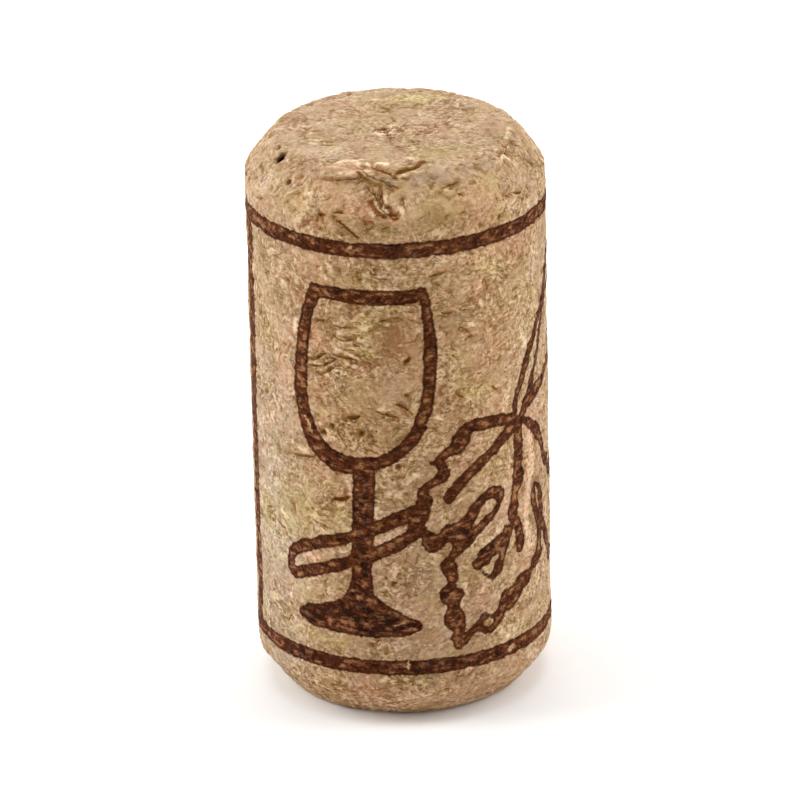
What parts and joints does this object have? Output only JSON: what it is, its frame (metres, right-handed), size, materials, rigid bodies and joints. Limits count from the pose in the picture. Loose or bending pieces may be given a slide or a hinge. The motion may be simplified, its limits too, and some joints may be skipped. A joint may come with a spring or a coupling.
{
  "type": "cork bottle stopper",
  "caption": "Straight cylindrical agglomerated-cork stopper for a wine bottle, chamfered at its ends, with a printed wine glass, vine leaf and border bands round its side.",
  "frame": {"origin": "centre of the lower end face, the end that goes into the bottle", "axes": "+Z along the cork's axis from the lower end to the upper end; -Y is the side that carries the printed glass; +X is to that side's right"},
  "size_m": [0.0226, 0.0224, 0.044],
  "materials": {
    "cork": "matt agglomerated cork, dry and fine-grained, with dark brown print"
  },
  "bodies": {
    "root": {"cork_stopper": "cork"}
  },
  "joints": []
}
